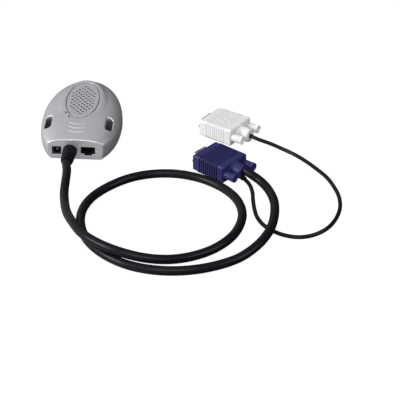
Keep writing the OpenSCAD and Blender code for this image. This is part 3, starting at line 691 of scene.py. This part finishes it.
def top_cover(x, y, z):
    lx, ly, lz = on_top(x, y, z)
    d = dome(x, y, z - lift(x, y))
    d = round_and(d, FRONT - y, 0.95)
    # hollow inside, less its posts and the grille's seat
    inner = np.maximum(dome(x, y, z, 2.0), -(y - FRONT - 2.2))
    inner = np.maximum(inner, 7.0 - z)
    for s in (-1, 1):
        inner = np.maximum(inner, -well(x, y, s, 1.5))
    for cx, cy in COVER_SCREWS:
        inner = np.maximum(inner, -post(x, y, cx, cy, 3.4))
    inner = np.maximum(inner, -np.maximum(oval(lx, ly, 16.3, 27.0), -3.4 - lz))
    for cx, cy in LIGHTS:
        inner = np.maximum(inner, -np.maximum(post(x, y, cx, cy, 2.4), 22 - z))
    d = np.maximum(d, -inner)
    # wells, jack openings, indicator holes and the grille's opening
    for s in (-1, 1):
        d = round_and(d, -np.maximum(well(x, y, s, 0), 12.2 - z), 1.35)
        d = np.maximum(d, -post(x, y, s * WELL_X, WELL_Y, 1.7))
    cut = np.maximum(jack_cuts(x, z), y + 44)
    d = round_and(d, -cut, 0.3)
    d = np.maximum(d, -jack_seats(x, y, z))
    for cx, cy in LIGHTS:
        d = round_and(d, -post(x, y, cx, cy, 1.06), 0.22)
    opening = np.maximum(oval(lx, ly, 14.85, 25.5), -1.62 - lz)
    d = round_and(d, -opening, 0.5)
    d = np.maximum(d, -oval(lx, ly, 13.1, 23.8))
    for cx, cy in COVER_SCREWS:
        d = np.maximum(d, -np.maximum(post(x, y, cx, cy, 1.27), z - 16.8))
    # edge at the parting line
    return round_and(d, PART_Z + 0.03 - z, 0.22)


def tub(x, y, z, inset=0.0):
    e = egg_distance(x, y, inset)
    low = BASE_Z + (1.6 if inset else 0.0)
    a = np.maximum(e + TUCK, 0) / TUCK
    b = np.maximum(WIDE_Z - z, 0) / (WIDE_Z - low)
    r = np.maximum(np.sqrt(a * a + b * b), 1e-4)
    slope = np.hypot(a / r / TUCK, b / r / (WIDE_Z - low))
    return (r - 1) / np.maximum(slope, 1e-3)


def bottom_cover(x, y, z):
    d = tub(x, y, z)
    d = round_and(d, FRONT - y, 0.95)
    inner = np.maximum(tub(x, y, z, 2.0), -(y - FRONT - 2.2))
    for cx, cy in COVER_SCREWS:
        inner = np.maximum(inner, -post(x, y, cx, cy, 3.4))
    for cx, cy in BOARD_SCREWS:
        inner = np.maximum(inner, -np.maximum(post(x, y, cx, cy, 2.6), z - 3.3))
    for s in (-1, 1):
        inner = np.maximum(inner, -post(x, y, s * WELL_X, WELL_Y, 4.1))
    d = np.maximum(d, -inner)
    cut = np.maximum(jack_cuts(x, z), y + 44)
    d = round_and(d, -cut, 0.3)
    d = np.maximum(d, -jack_seats(x, y, z))
    for cx, cy in COVER_SCREWS:
        d = np.maximum(d, -post(x, y, cx, cy, 1.7))
        d = round_and(d, -np.maximum(post(x, y, cx, cy, 3.0), z - 3.6), 0.25)
    for s in (-1, 1):
        d = round_and(d, -post(x, y, s * WELL_X, WELL_Y, 1.7), 0.25)
    for cx, cy in FEET:
        d = round_and(d, -np.maximum(post(x, y, cx, cy, 4.15), z - 1.7), 0.2)
    return round_and(d, z - (PART_Z - 0.03), 0.22)


top = moulded("housing_top", top_cover, (-37, -49.5, 9), (37, 49.5, 39), 0.40, keep=0.36)
finish_piece(top, silver_top, replaces=["top_cover"])
base = moulded("housing_base", bottom_cover, (-37, -49.5, 0.5), (37, 49.5, 10.6), 0.42, keep=0.34)
finish_piece(base, silver, replaces=["bottom_cover"])


def grille(x, y, z):
    d = round_and(oval(x, y, 14.3, 25.0), np.abs(z + 0.8) - 0.8, 0.5)
    u, v, pitch = (x + y) / math.sqrt(2), (x - y) / math.sqrt(2), 2.4 * math.sqrt(2)
    cu, cv = np.round(u / pitch) * pitch, np.round(v / pitch) * pitch
    cx, cy = (cu + cv) / math.sqrt(2), (cu - cv) / math.sqrt(2)
    inside = (cx / 11.4) ** 2 + (cy / 20.6) ** 2 < 1
    hole = np.where(inside, np.hypot(u - cu, v - cv) - 0.84, 3.0)
    return round_and(d, -hole, 0.22)


TOP_FRAME = Matrix.Scale(0.001, 4) @ Matrix.Translation((0, GRILLE_Y, GRILLE_Z)) @ Matrix.Rotation(TILT, 4, "X")
panel = moulded("grille_panel", grille, (-15, -26, -2.2), (15, 26, 0.6), 0.25, TOP_FRAME, keep=0.55)
finish_piece(panel, silver_grille, replaces=["vent_grille"])

# Feet, with a soft edge and a dished sole
for k, (cx, cy) in enumerate(FEET):
    prof = rounded_profile([(1.7, 0), (1.7, 4.0), (0.0, 3.9), (0.0, 3.1), (0.18, 2.6), (0.18, 0)], 0.35)
    m = Matrix.Scale(0.001, 4) @ Matrix.Translation((cx, cy, 0)) @ Matrix.Rotation(-math.pi / 2, 4, "Y")
    foot = outward(turned(f"foot_{k + 1}", prof, m, 48))
    finish_piece(foot, foot_rubber, replaces=["rubber_feet"])

# Light pipes with a domed end that stands a little below the surface
for name, node, (cx, cy) in (("power_light", "power_light_pipe", LIGHTS[0]), ("link_light", "link_light_pipe", LIGHTS[1])):
    top_z = TOP_Z + SLOPE * (cy - FRONT) - 0.1
    prof = rounded_profile([(6.3, 0), (6.3, 1.0), (20.8, 1.0), (20.8, 1.9), (21.9, 1.9), (21.9, 1.0), (top_z - 0.35, 1.0), (top_z, 0.55), (top_z, 0)], 0.12)
    m = Matrix.Scale(0.001, 4) @ Matrix.Translation((cx, cy, 0)) @ Matrix.Rotation(-math.pi / 2, 4, "Y")
    pipe = outward(turned(name, prof, m, 40))
    finish_piece(pipe, light_pipe, replaces=[node])

# ---------------------------------------------------------------- boot, cables

boot_profile = [(-3.9, 3.75), (-3.9, 6.2), (-2.3, 6.2), (-2.3, 4.5), (0.05, 4.5), (0.05, 6.25), (2.4, 6.2), (2.5, 5.5), (3.3, 5.5),
                (3.4, 6.1), (5.4, 6.05), (5.5, 5.4), (6.3, 5.4), (6.4, 5.95), (8.4, 5.9), (8.5, 5.3), (9.3, 5.3), (9.4, 5.8),
                (13, 5.65), (16.5, 5.45), (18.2, 5.2), (19.4, 4.4), (19.4, 3.75)]
boot_frame = Matrix.Scale(0.001, 4) @ Matrix.Translation((BOOT_X, FRONT, PART_Z)) @ Matrix.Rotation(-math.pi / 2, 4, "Z")
boot = outward(turned("boot", rounded_profile(boot_profile + [boot_profile[0]], 0.35), boot_frame, 72))
finish_piece(boot, boot_rubber, replaces=["cable_boot"])

grommet_profile = [(0, 1.7), (0, 2.3), (0.8, 2.3), (0.9, 1.95), (1.2, 1.95), (1.3, 2.2), (2.0, 2.2), (2.1, 1.9), (2.4, 1.9), (2.5, 2.1), (3.3, 2.0), (3.4, 1.7)]
grommet_frame = plug_matrix(BLUE) @ Matrix.Translation((-BOSS_BLUE, THIN_Y, THIN_Z)) @ Matrix.Rotation(math.pi, 4, "Z")
grommet = outward(turned("grommet", rounded_profile(grommet_profile + [grommet_profile[0]], 0.15), grommet_frame, 40))
finish_piece(grommet, boot_rubber, replaces=["branch_grommet"])

# ---------------------------------------------------------------- plugs


def d_distance(y, z, w, h, r):
    """Distance to the D outline of a video connector, broad side up."""
    q = h / 2 - r
    ct = w / 2 - r
    cb = ct - 2 * q * math.tan(math.radians(10))
    px, pz = np.abs(y), z - 0.0
    # nearest of the flat ends, then of the slanted side
    ax = px - np.minimum(px, np.where(pz < 0, cb, ct))
    az = np.abs(pz) - q
    kx, kz = ct - cb, 2 * q
    s = np.clip(((px - cb) * kx + (pz + q) * kz) / (kx * kx + kz * kz), 0, 1)
    bx, bz = px - cb - kx * s, pz + q - kz * s
    inside = (bx < 0) & (az < 0)
    d2 = np.minimum(ax * ax + az * az, bx * bx + bz * bz)
    return np.where(inside, -1.0, 1.0) * np.sqrt(d2) - r


def hood_shape(x, y, z, depth):
    zz = z - PLUG_Z
    # grooves of the grip, and a slimmer front band
    inset = np.zeros_like(x)
    for k in range(9):
        c = 7.05 + 2.35 * k
        inset = np.maximum(inset, depth * (1 - step(0.30, 0.68, np.abs(x - c))))
    inset = np.maximum(inset, 0.42 * step(28.6, 29.0, x))
    r = 2.2
    a, b = np.abs(y) - (HOOD_W / 2 - inset) + r, np.abs(zz) - (HOOD_T / 2 - inset) + r
    d = np.hypot(np.maximum(a, 0), np.maximum(b, 0)) + np.minimum(np.maximum(a, b), 0) - r
    d = round_and(d, -x, 1.5)
    return round_and(d, x - HOOD_L, 0.55)


def hood_cuts(d, x, y, z, lip):
    zz = z - PLUG_Z
    seat = np.maximum(np.maximum(np.abs(y) - 15.05, np.abs(zz) - 5.95), -(x - (HOOD_L - lip - 0.85)))
    d = round_and(d, -seat, 0.25)
    d = np.maximum(d, -np.maximum(d_distance(y, zz, 17.3, 8.8, 2.3), -(x - (HOOD_L - lip - 10.6))))
    for s in (-1, 1):
        rr = np.hypot(y - s * SCREW_Y, zz)
        d = round_and(d, -(rr - 1.25), 0.25)
        d = np.maximum(d, -np.maximum(rr - 1.6, HOOD_L - 4.7 - x))
        d = np.maximum(d, -np.maximum(rr - 2.25, np.abs(x - 14.2) - 2.7))
    return d


def blue_hood(x, y, z):
    d = hood_shape(x, y, z, 0.85)
    zz = z - PLUG_Z
    boss = np.hypot(np.maximum(np.abs(y) - 0.5, 0), zz) - (6.0 + 0.5 * step(-BOSS_BLUE, -1, x))
    boss = round_and(boss, np.maximum(-x - BOSS_BLUE, x - 4), 1.3)
    d = round_or(d, boss, 1.2)
    d = hood_cuts(d, x, y, z, 0.0)
    thick = np.maximum(np.hypot(y - THICK_Y, z - THICK_Z) - CABLE_D / 2 - 0.05, np.abs(x + BOSS_BLUE - 3) - 3.2)
    thin = np.maximum(np.hypot(y - THIN_Y, z - THIN_Z) - BRANCH_D / 2 - 0.05, np.abs(x + BOSS_BLUE - 3) - 3.2)
    d = round_and(d, -thick, 0.3)
    return np.maximum(d, -thin)


def white_hood(x, y, z):
    d = hood_shape(x, y, z, 0.45)
    zz = z - PLUG_Z
    boss = np.hypot(y, z - BOSS_Z) - (6.1 + 0.4 * step(-BOSS_WHITE, -1, x))
    boss = round_and(boss, np.maximum(-x - BOSS_WHITE, x - 4), 1.0)
    d = round_or(d, boss, 1.2)
    d = hood_cuts(d, x, y, z, 1.7)
    thin = np.maximum(np.hypot(y, z - BOSS_Z) - BRANCH_D / 2 - 0.05, np.abs(x + BOSS_WHITE - 3) - 3.2)
    return round_and(d, -thin, 0.4)


def shell_shape(x, y, z, flange_x, dimples):
    zz = z - PLUG_Z
    outer = d_distance(y, zz, 16.9, 8.4, 2.4)
    wall = np.abs(outer + 0.225) - 0.225
    collar = np.maximum(wall, np.abs(x - (flange_x + 0.6 + 2.95)) - 3.05)
    a, b = np.abs(y) - 15.0 + 1.0, np.abs(zz) - 5.9 + 1.0
    plate = np.hypot(np.maximum(a, 0), np.maximum(b, 0)) + np.minimum(np.maximum(a, b), 0) - 1.0
    plate = round_and(plate, np.abs(x - flange_x - 0.4) - 0.4, 0.15)
    plate = np.maximum(plate, -(outer + 0.44))
    for s in (-1, 1):
        plate = np.maximum(plate, -(np.hypot(y - s * SCREW_Y, zz) - 1.6))
    d = round_or(collar, plate, 0.55)
    if dimples:
        for cy in (-4.6, 0.0, 4.6):
            for s in (-1, 1):
                ball = np.sqrt((x - flange_x - 3.6) ** 2 + (y - cy) ** 2 + (zz - s * 4.55) ** 2) - 0.95
                d = round_and(d, -ball, 0.12)
    return d


for name, plug, hood_f, mat_hood, flange, lip, insulator in (
    ("blue", BLUE, blue_hood, hood_blue, HOOD_L - 0.8, 0.0, insulator_blue),
    ("white", WHITE, white_hood, hood_white, HOOD_L - 2.5, 1.7, nylon_white),
):
    m = plug_matrix(plug)
    hood = moulded(f"{name}_plug_hood", hood_f, (-11.4, -17.2, -0.6), (34.9, 17.2, 16.6), 0.34, m, keep=0.5)
    finish_piece(hood, mat_hood, replaces=[f"{name}_hood"])
    shell = moulded(f"{name}_plug_shell", lambda x, y, z, fx=flange, dm=(name == "blue"): shell_shape(x, y, z, fx, dm),
                    (flange - 0.6, -15.8, PLUG_Z - 6.6), (flange + 7.2, 15.8, PLUG_Z + 6.6), 0.2, m, keep=0.4)
    finish_piece(shell, nickel, replaces=[f"{name}_shell"])

    pin_places = [(c * 2.29 + (-0.57 if r == 0 else 0.57), r * 1.98) for r in (-1, 0, 1) for c in range(-2, 3)]
    if name == "blue":
        all_pts, all_faces = [], []
        prof = rounded_profile([(HOOD_L - 8.9, 0), (HOOD_L - 8.9, 0.5), (HOOD_L + 4.9, 0.5), (HOOD_L + 5.0, 0)], 0.0)
        prof = [(HOOD_L - 8.9, 0), (HOOD_L - 8.9, 0.5), (HOOD_L + 4.45, 0.5), (HOOD_L + 4.7, 0.43), (HOOD_L + 4.9, 0.27), (HOOD_L + 5.0, 0)]
        for py, pz in pin_places:
            start = len(all_pts)
            rings = []
            for x, r in prof:
                if r == 0:
                    rings.append([len(all_pts)])
                    all_pts.append((x, py, PLUG_Z + pz))
                else:
                    ring = []
                    for k in range(20):
                        a = 2 * math.pi * k / 20
                        ring.append(len(all_pts))
                        all_pts.append((x, py + r * math.cos(a), PLUG_Z + pz + r * math.sin(a)))
                    rings.append(ring)
            for ra, rb in zip(rings[:-1], rings[1:]):
                for k in range(20):
                    j = (k + 1) % 20
                    if len(ra) == 1:
                        all_faces.append((ra[0], rb[j], rb[k]))
                    elif len(rb) == 1:
                        all_faces.append((ra[k], ra[j], rb[0]))
                    else:
                        all_faces.append((ra[k], ra[j], rb[j], rb[k]))
        pins = outward(to_mesh("blue_plug_pins", all_pts, all_faces, m))
        finish_piece(pins, gold, replaces=["blue_pins"])

    for side, s in (("near", 1), ("far", -1)):
        centre = m @ Matrix.Translation((0, s * SCREW_Y, PLUG_Z))
        # Knob: a smooth sleeve against the hood, then a fluted grip with a driver slot left out of the round
        knob_prof = rounded_profile([(-10.0, 0), (-10.0, 2.6), (-11.0, 2.9), (-11.0, 3.7), (-7.4, 3.7), (-7.25, 3.3), (-6.95, 3.3), (-6.8, 3.5),
                                     (-1.2, 3.5), (-0.9, 3.2), (-0.3, 3.2), (-0.3, 0)], [0, 0.2, 0.25, 0.45, 0.2, 0.1, 0.1, 0.2, 0.25, 0.15, 0.15, 0], 4)

        def flute(x, r, a):
            if r > 2.95 and -10.9 < x < -7.35:
                depth = 0.34 * min(1.0, (x + 10.9) / 0.5, (-7.35 - x) / 0.25)
                return r - depth * (0.5 - 0.5 * math.cos(18 * a)) ** 1.5
            return r

        dense = []
        for (x0, r0), (x1, r1) in zip(knob_prof[:-1], knob_prof[1:]):
            dense.append((x0, r0))
            if abs(x1 - x0) > 1.5:
                for t_ in (0.12, 0.3, 0.5, 0.7, 0.88):
                    dense.append((x0 + (x1 - x0) * t_, r0 + (r1 - r0) * t_))
        dense.append(knob_prof[-1])
        knob = outward(turned(f"{name}_knob_{side}_grip", dense, centre, 108, flute))
        finish_piece(knob, mat_hood, body=f"{name}_screw_{side}", replaces=[f"{name}_knob_{side}"])

        # Screw with a cut thread on its tip
        thread = []
        x = HOOD_L + 0.05
        while x < HOOD_L + 2.12:
            thread.append((x, 1.42))
            x += 0.635 / 8
        screw_prof = [(-9.9, 0), (-9.9, 1.1), (15.85, 1.1), (15.9, 0.9), (16.7, 0.9), (16.75, 1.1), (HOOD_L - 0.2, 1.1)] + thread + [(HOOD_L + 2.3, 1.2), (HOOD_L + 2.5, 1.0), (HOOD_L + 2.5, 0)]

        def cut(x, r, a):
            if HOOD_L <= x <= HOOD_L + 2.2 and r > 1.3:
                turn = ((x / 0.635) - a / (2 * math.pi)) % 1.0
                return r - 0.30 * abs(2 * turn - 1)
            return r

        rod = outward(turned(f"{name}_screw_{side}_rod", screw_prof, centre, 40, cut))
        finish_piece(rod, steel, body=f"{name}_screw_{side}", replaces=[f"{name}_screw_{side}"])

# ---------------------------------------------------------------- CAD nodes that stay, with their finish

KEEP = {
    "cover_screws": steel, "main_pcb": board, "board_screws": steel, "status_leds": led_body,
    "rj45_housing": jack_black, "rj45_contacts": gold, "dc_jack_housing": jack_black, "dc_jack_contacts": dull_metal,
    "video_driver_ic": chip, "sync_driver_ics": chip, "voltage_regulator": chip, "capacitors": capacitor,
    "cable_header": nylon_white, "inner_wires": wire, "blue_insulator": insulator_blue, "white_insulator": nylon_white,
    "white_contacts": gold, "blue_ring_near": steel, "blue_ring_far": steel, "white_ring_near": steel, "white_ring_far": steel,
}
for node, material in KEEP.items():
    o = nodes[node]
    o.data.materials.clear()
    o.data.materials.append(material)

# ---------------------------------------------------------------- cords, with their finish

finish_piece(video_cord, jacket, replaces=["video_cable"])
finish_piece(branch_cord, jacket, replaces=["branch_cable"])
print("cord lengths", round(video_length, 4), round(branch_length, 4))

# ---------------------------------------------------------------- floor and light

floor_mesh = bpy.data.meshes.new("floor")
floor_mesh.from_pydata([(-6, -6, 0), (6, -6, 0), (6, 6, 0), (-6, 6, 0)], [], [(0, 1, 2, 3)])
floor = bpy.data.objects.new("floor", floor_mesh)
scene.collection.objects.link(floor)
fm = bpy.data.materials.new("floor_white")
fm.use_nodes = True
fs = fm.node_tree.nodes["Principled BSDF"]
fs.inputs["Base Color"].default_value = (0.1, 0.1, 0.1, 1)
fs.inputs["Roughness"].default_value = 0.9
fs.inputs["Specular IOR Level"].default_value = 0.1
fs.inputs["Emission Color"].default_value = (1, 1, 1, 1)
fs.inputs["Emission Strength"].default_value = 0.95
floor_mesh.materials.append(fm)
floor.visible_diffuse = False
floor.visible_glossy = False
floor.visible_shadow = False

world = bpy.data.worlds.new("studio")
scene.world = world
world.use_nodes = True
wt = world.node_tree
bg = wt.nodes["Background"]
wc = wt.nodes.new("ShaderNodeTexCoord")
dot = wt.nodes.new("ShaderNodeVectorMath")
dot.operation = "DOT_PRODUCT"
toward = Vector((-0.85, -0.38, 0.36)).normalized()
dot.inputs[1].default_value = toward
wt.links.new(wc.outputs["Generated"], dot.inputs[0])
glow = wt.nodes.new("ShaderNodeValToRGB")
glow.color_ramp.elements[0].position = 0.0
glow.color_ramp.elements[0].color = (0.03, 0.03, 0.032, 1)
glow.color_ramp.elements[1].position = 1.0
glow.color_ramp.elements[1].color = (1.0, 1.0, 1.0, 1)
for place_, value in ((0.25, 0.06), (0.5, 0.30), (0.62, 0.48), (0.8, 0.7)):
    mid = glow.color_ramp.elements.new(place_)
    mid.color = (value, value, value * 1.02, 1)
half = wt.nodes.new("ShaderNodeMapRange")
half.inputs["From Min"].default_value = -1
half.inputs["From Max"].default_value = 1
wt.links.new(dot.outputs["Value"], half.inputs["Value"])
wt.links.new(half.outputs["Result"], glow.inputs["Fac"])
wt.links.new(glow.outputs["Color"], bg.inputs["Color"])
bg.inputs["Strength"].default_value = 1.0


def area_light(name, at, to, size, power, colour=(1, 1, 1)):
    data = bpy.data.lights.new(name, "AREA")
    data.shape = "DISK"
    data.size = size
    data.energy = power
    data.color = colour
    o = bpy.data.objects.new(name, data)
    o.location = at
    o.rotation_mode = "QUATERNION"
    o.rotation_quaternion = (Vector(to) - Vector(at)).to_track_quat("-Z", "Y")
    scene.collection.objects.link(o)
    return o


area_light("key", (-0.95, -0.50, 0.62), (0.06, -0.06, 0.0), 0.55, 9.5)
area_light("front", (0.10, -0.95, 0.95), (0.06, -0.06, 0.0), 0.8, 5.5)
area_light("right", (1.05, -0.40, 0.65), (0.06, -0.06, 0.0), 0.8, 4.6)

scene.view_settings.view_transform = "Standard"
scene.view_settings.look = "None"
scene.view_settings.exposure = 0.0
scene.view_settings.gamma = 1.0
